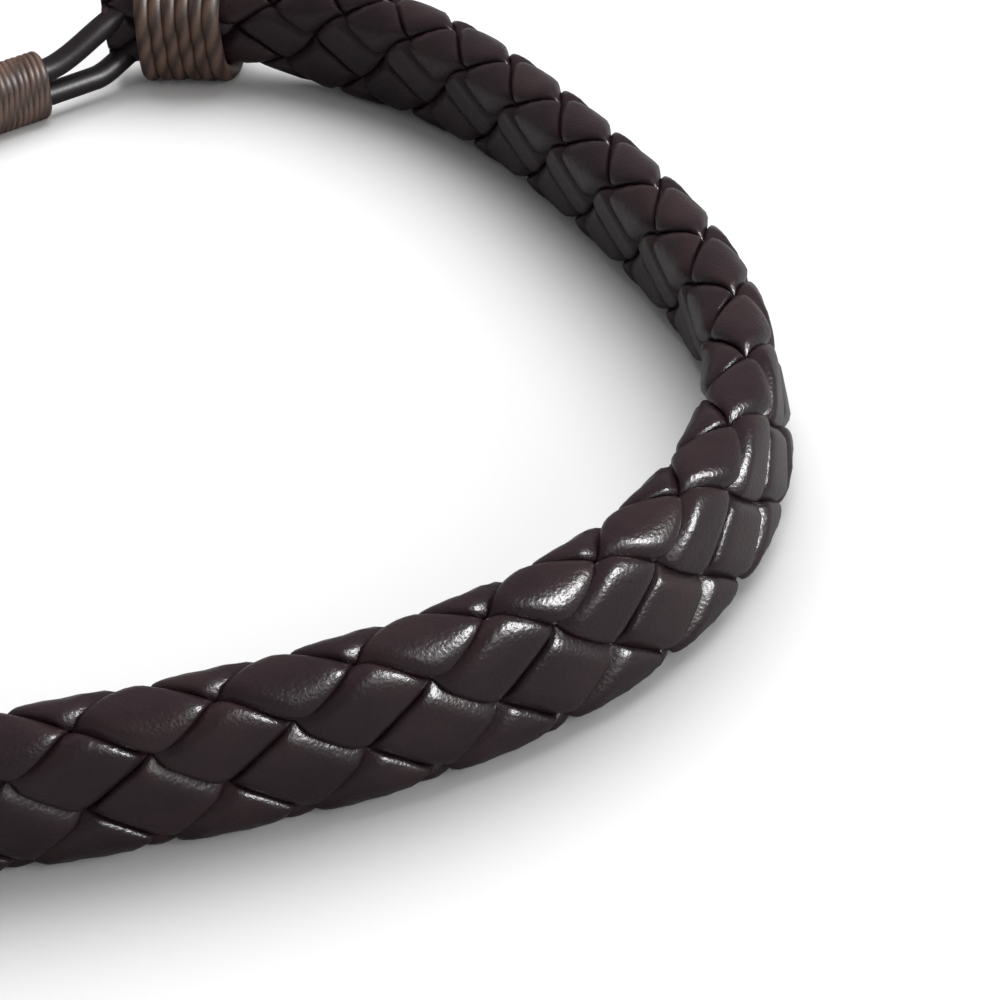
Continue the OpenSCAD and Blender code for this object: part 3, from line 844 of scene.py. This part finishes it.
class OBJECT_OT_bracelet_stage(bpy.types.Operator):
    """Sets the camera at the photograph's angle over a pale floor, under soft studio light"""

    bl_idname = "object.bracelet_stage"
    bl_label = "Stage"

    def execute(self, context):
        scene = context.scene
        self.camera(scene, scene.bracelet_stage)
        self.floor(scene.bracelet_stage)
        for name, light in LIGHTS.items():
            self.light(scene, name, **light)
        self.surroundings(scene)
        return {"FINISHED"}

    def camera(self, scene, stage):
        """Looks down at a point beside the loop's centre, turned about the line of sight"""
        centre = -loop_middle(scene.bracelet_loop)
        e, roll = stage.elevation, stage.roll
        forward = Vector((0, math.cos(e), -math.sin(e)))
        right, up = Vector((1, 0, 0)), Vector((0, math.sin(e), math.cos(e)))
        camera_x = math.cos(roll) * right + math.sin(roll) * up
        camera_y = math.cos(roll) * up - math.sin(roll) * right
        aim = Vector((centre[0] + stage.aim_x, centre[1] + stage.aim_y, 0))
        data = bpy.data.cameras.new("Camera")
        data.lens, data.sensor_width, data.clip_start = stage.lens, SENSOR_MM, NEAREST
        camera = bpy.data.objects.new("Camera", data)
        turned = Matrix((camera_x, camera_y, -forward)).transposed().to_4x4()
        camera.matrix_world = Matrix.Translation(aim - stage.distance * forward) @ turned
        scene.collection.objects.link(camera)
        scene.camera = camera

    def floor(self, stage):
        """Matt white paper, which the camera sees paler than the light that it throws back on the leather"""
        bpy.ops.mesh.primitive_plane_add(size=FLOOR_SIZE)
        floor = bpy.context.object
        floor.name = "floor"
        material, tree, shader = new_material("Matt white paper")
        seen = add(tree, "ShaderNodeLightPath").outputs["Is Camera Ray"]
        colour = add(tree, "ShaderNodeMix", {"Factor": seen, "A": stage.bounce[:], "B": stage.floor[:]},
                     data_type="RGBA")
        tree.links.new(colour.outputs["Result"], shader.inputs["Base Color"])
        shader.inputs["Roughness"].default_value = 0.9
        shader.inputs["Specular IOR Level"].default_value = 0.2
        floor.data.materials.append(material)

    def light(self, scene, name, spot, size, power, kept_from=None):
        """A round light that faces the lit spot"""
        data = bpy.data.lights.new(name, "AREA")
        data.shape, data.size, data.energy = "DISK", size, power
        lamp = bpy.data.objects.new(name, data)
        lamp.location = spot
        lamp.rotation_euler = (Vector(LIT_SPOT) - Vector(spot)).to_track_quat("-Z", "Y").to_euler()
        lamp.visible_glossy = kept_from != "glossy"
        lamp.visible_diffuse = kept_from != "diffuse"
        scene.collection.objects.link(lamp)

    def surroundings(self, scene):
        """Even white light all round, and colours shown as they are"""
        world = bpy.data.worlds.new("Studio")
        world.use_nodes = True
        background = world.node_tree.nodes["Background"]
        background.inputs["Color"].default_value = (1, 1, 1, 1)
        background.inputs["Strength"].default_value = AMBIENT
        scene.world = world
        scene.view_settings.view_transform = "Standard"


class OBJECT_OT_bracelet_strands(bpy.types.Operator):
    """Plaits the eight leather laces round the flattened tube"""

    bl_idname = "object.bracelet_strands"
    bl_label = "Strands"

    def execute(self, context):
        scene = context.scene
        band, braid, whipping = Band(scene), scene.bracelet_braid, scene.bracelet_whipping
        way_count = braid.columns // 2
        guide = guide_line("band_line", on_floor(band.line), band.lean(band.angles))
        tree = lace_tree(wrap_tree())
        values = {
            "Guide": guide, "Material": dyed_leather(scene.bracelet_finishes), "Stations": LACE_STATIONS,
            "Corners": LACE_CORNERS, "From": band.strand_from, "To": band.strand_to,
            "Guide From": float(band.distances[0]),
            "Braid From": band.braid_from, "Braid To": band.braid_to, "Pitch": braid.pitch,
            "Columns": float(braid.columns), "Column Shift": braid.column_shift, "Lace": braid.lace,
            "Gap": braid.gap, "Press": braid.press, "Cover Over": braid.cover_over,
            "Cover Under": braid.cover_under, "Dive From": braid.dive_from, "Dive To": braid.dive_to,
            "Height": braid.height, "Thickness": braid.thickness, "Squeezed Height": whipping.height,
            "Squeezed Thickness": whipping.thickness, "Squeeze Length": whipping.squeeze,
            "Lift": whipping.cord + whipping.play, "Wall": braid.lace + braid.gap / 2,
            "Even Depth": braid.even_depth, "Variation": braid.variation,
        }
        for n in range(braid.columns):
            values["Way"] = -1.0 if n < way_count else 1.0
            values["Start"] = braid.phase + n % way_count * braid.pitch
            values["Seed"] = LACE_SEED_STEP * n
            make_piece(f"plaited_lace_{n + 1}", tree, values, [f"strand_{n + 1}"])
        bpy.data.objects.remove(guide)
        return {"FINISHED"}


class OBJECT_OT_bracelet_whippings(bpy.types.Operator):
    """Winds waxed cord round both ends of the braid"""

    bl_idname = "object.bracelet_whippings"
    bl_label = "Whippings"

    def execute(self, context):
        scene = context.scene
        band, whipping = Band(scene), scene.bracelet_whipping
        guide = guide_line("band_line", on_floor(band.line), band.lean(band.angles))
        high, thick = wound_on(whipping)
        tree = winding_tree(wrap_tree())
        first = float(band.distances[0])
        starts = {"far": band.braid_to, "near": band.braid_from - whipping.length}
        for number, (end, start) in enumerate(starts.items()):
            values = {
                "Guide": guide, "Material": waxed_cord(scene.bracelet_finishes),
                "Stations": TURN_STATIONS * whipping.turns, "Corners": CORD_CORNERS,
                "Turns": float(whipping.turns), "From": start - first, "Length": whipping.length,
                "Cord": whipping.cord, "Height": high, "Thickness": thick, "Slack": whipping.slack,
                "Seed": WHIPPING_SEED_STEP * number,
            }
            make_piece(f"whipping_cord_{end}", tree, values, [f"whipping_{end}"])
        bpy.data.objects.remove(guide)
        return {"FINISHED"}


class OBJECT_OT_bracelet_closing(bpy.types.Operator):
    """Draws the two closing laces and winds the sliding knot round them"""

    bl_idname = "object.bracelet_closing"
    bl_label = "Closing laces and knot"

    def execute(self, context):
        scene = context.scene
        closing, whipping, looks = scene.bracelet_closing, scene.bracelet_whipping, scene.bracelet_finishes
        line = ClosingLine(scene, Band(scene))

        # In the knot, one lace lies above the other
        inner_high = 2 * closing.lace + 3 * whipping.play
        inner_thick = closing.lace + 2 * whipping.play
        knot_middle = inner_high / 2 + closing.knot_cord
        beside = (closing.lace + whipping.play) / 2
        leather = round_leather(looks)
        tree = round_lace_tree()

        # The upper lace settles over the whole way to the knot, and the lower one over half of it
        for end, up, inside, settle in (("upper", closing.up, knot_middle + beside, closing.knot_from),
                                        ("lower", -closing.down, knot_middle - beside, closing.knot_from / 2)):
            guide = guide_line(f"{end}_line", line.lace_path(up, inside, settle))
            values = {"Guide": guide, "Material": leather, "Corners": ROUND_LACE_CORNERS,
                      "Diameter": closing.lace}
            make_piece(f"closing_lace_{end}", tree, values, [f"lace_{end}"])
            bpy.data.objects.remove(guide)

        guide = guide_line("closing_line", on_floor(line.line))
        start = float(np.interp(line.knot_first, line.shares, line.distances))
        end = float(np.interp(line.knot_last, line.shares, line.distances))
        values = {
            "Guide": guide, "Material": waxed_cord(looks), "Stations": TURN_STATIONS * closing.knot_turns,
            "Corners": CORD_CORNERS, "Turns": float(closing.knot_turns), "From": start, "Length": end - start,
            "Cord": closing.knot_cord, "Height": inner_high, "Thickness": inner_thick,
            "Slack": closing.knot_slack, "Seed": KNOT_SEED,
        }
        make_piece("sliding_knot_cord", winding_tree(wrap_tree()), values, ["sliding_knot"])
        bpy.data.objects.remove(guide)
        return {"FINISHED"}


class VIEW3D_PT_bracelet(bpy.types.Panel):
    """Lists the sizes, the colours and the operators"""

    bl_label = "Braided leather bracelet"
    bl_idname = "VIEW3D_PT_bracelet"
    bl_space_type = "VIEW_3D"
    bl_region_type = "UI"
    bl_category = "Bracelet"

    def draw(self, context):
        for name in POINTERS:
            box = self.layout.box()
            group = getattr(context.scene, name)
            for key in group.__annotations__:
                box.prop(group, key)
        for operator in OPERATORS:
            self.layout.operator(operator.bl_idname)


POINTERS = {
    "bracelet_loop": LoopSizes,
    "bracelet_braid": BraidSizes,
    "bracelet_whipping": WhippingSizes,
    "bracelet_closing": ClosingSizes,
    "bracelet_finishes": Finishes,
    "bracelet_stage": StageSettings,
}
OPERATORS = (OBJECT_OT_bracelet_stage, OBJECT_OT_bracelet_strands, OBJECT_OT_bracelet_whippings,
             OBJECT_OT_bracelet_closing)
CLASSES = (*POINTERS.values(), *OPERATORS, VIEW3D_PT_bracelet)


def register():
    for kind in CLASSES:
        bpy.utils.register_class(kind)
    for name, group in POINTERS.items():
        setattr(bpy.types.Scene, name, PointerProperty(type=group))


def unregister():
    for name in POINTERS:
        delattr(bpy.types.Scene, name)
    for kind in reversed(CLASSES):
        bpy.utils.unregister_class(kind)


def main():
    register()
    bpy.ops.object.bracelet_stage()
    bpy.ops.object.bracelet_strands()
    bpy.ops.object.bracelet_whippings()
    bpy.ops.object.bracelet_closing()


if __name__ == "__main__":
    main()
